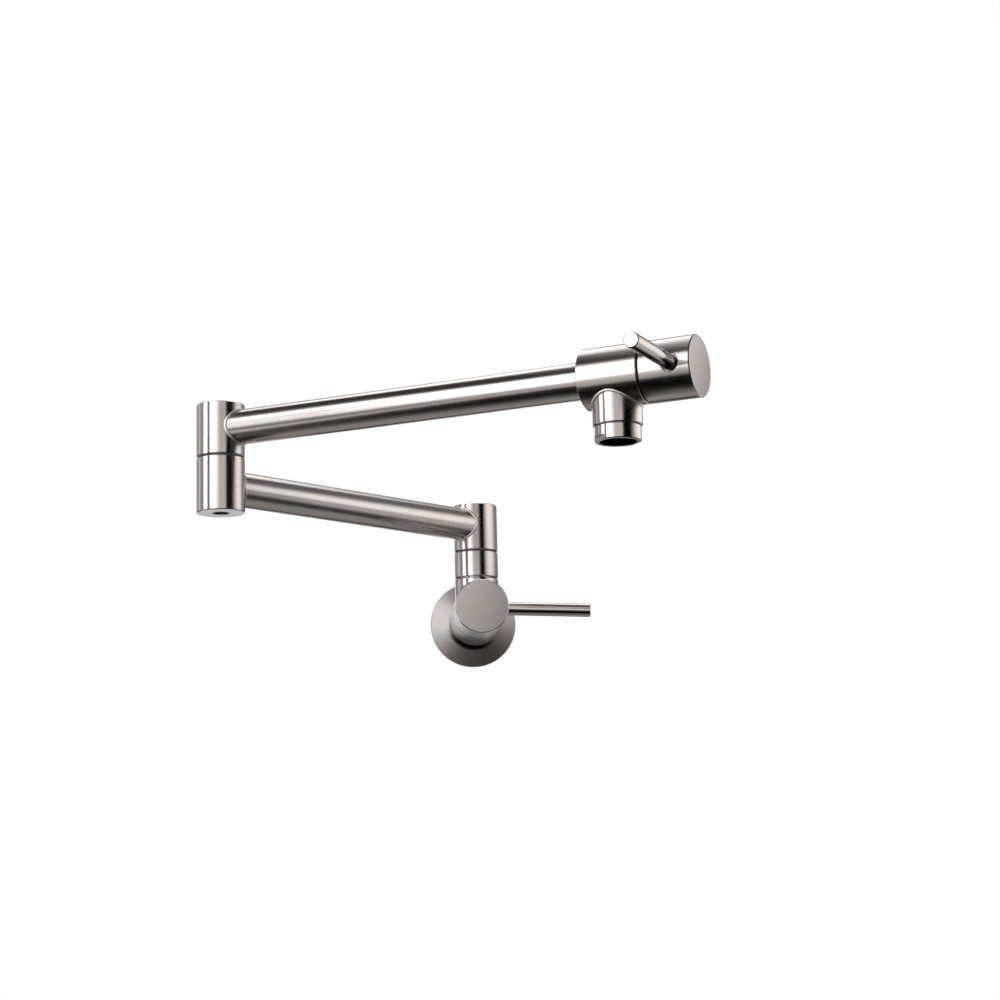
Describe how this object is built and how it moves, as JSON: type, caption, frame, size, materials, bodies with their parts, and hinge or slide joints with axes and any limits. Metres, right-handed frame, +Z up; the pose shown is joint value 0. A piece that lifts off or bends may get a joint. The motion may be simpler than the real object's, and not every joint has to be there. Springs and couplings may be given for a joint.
{
  "type": "folding kitchen faucet",
  "caption": "Wall-mounted folding kitchen faucet in brushed nickel: a lever valve at the wall, jointed swinging arms and another lever valve at the spout, for filling pots over a hob.",
  "frame": {"origin": "centre of the inlet's mouth, in the plane of the wall", "axes": "+X to the right along the wall seen from the front, -Y out of the wall towards the user, +Z up"},
  "size_m": [0.299, 0.4157, 0.1465],
  "materials": {
    "brushed_nickel": "warm nickel plate, brushed round each piece, on brass",
    "brass": "turned, bare",
    "dark_steel": "stainless screws, dark in their holes",
    "rubber": "smooth black",
    "nylon": "smooth black",
    "screen_plastic": "moulded, dark grey",
    "ceramic": "polished white alumina"
  },
  "bodies": {
    "wall_valve": {"wall_flange": "brushed_nickel", "flange_seal": "rubber", "flange_gasket": "rubber", "inlet_shank": "brushed_nickel", "valve_body": "brushed_nickel", "riser_collar": "brushed_nickel", "riser_spindle": "brass", "riser_pilot_seal": "rubber", "riser_spindle_seals": "rubber", "riser_slip_washer": "nylon", "riser_lock_screw": "dark_steel", "riser_lock_washer": "nylon", "wall_cartridge": "brass", "wall_cartridge_gasket": "rubber", "wall_cartridge_seal": "rubber", "wall_fixed_disc": "ceramic"},
    "wall_handle": {"wall_turning_disc": "ceramic", "wall_stem": "brass", "wall_stem_seal": "rubber", "wall_handle_cap": "brushed_nickel", "wall_lever": "brushed_nickel", "wall_grub_screw": "dark_steel"},
    "lower_arm": {"lower_arm_riser_hub": "brushed_nickel", "lower_arm_tube": "brushed_nickel", "lower_arm_elbow_hub": "brushed_nickel"},
    "upper_arm": {"elbow_spindle": "brass", "elbow_spindle_seals": "rubber", "elbow_slip_washer": "nylon", "elbow_lock_screw": "dark_steel", "elbow_lock_washer": "nylon", "upper_arm_elbow_hub": "brushed_nickel", "upper_arm_tube": "brushed_nickel", "spout_body": "brushed_nickel", "spout_neck": "brushed_nickel", "aerator_housing": "brushed_nickel", "aerator_insert": "screen_plastic", "aerator_washer": "rubber", "spout_cartridge": "brass", "spout_cartridge_gasket": "rubber", "spout_cartridge_seal": "rubber", "spout_fixed_disc": "ceramic"},
    "spout_handle": {"spout_turning_disc": "ceramic", "spout_stem": "brass", "spout_stem_seal": "rubber", "spout_handle_cap": "brushed_nickel", "spout_lever": "brushed_nickel", "spout_grub_screw": "dark_steel"}
  },
  "joints": [
    {"name": "wall_valve_turn", "type": "hinge", "parent": "wall_valve", "child": "wall_handle", "pos_m": [0, -0.082, 0], "axis": [0, 1, 0], "range_deg": [0, 90]},
    {"name": "riser_swivel", "type": "hinge", "parent": "wall_valve", "child": "lower_arm", "pos_m": [0, -0.047, 0.0625], "axis": [0, 0, 1], "range_deg": [-42.2, 137.8]},
    {"name": "elbow_swivel", "type": "hinge", "parent": "lower_arm", "child": "upper_arm", "pos_m": [-0.16742, -0.19881, 0.0805], "axis": [0, 0, 1], "continuous": true},
    {"name": "spout_valve_turn", "type": "hinge", "parent": "upper_arm", "child": "spout_handle", "pos_m": [0.09404, -0.34794, 0.0985], "axis": [-0.8686, 0.4955, 0], "range_deg": [0, 90]}
  ]
}
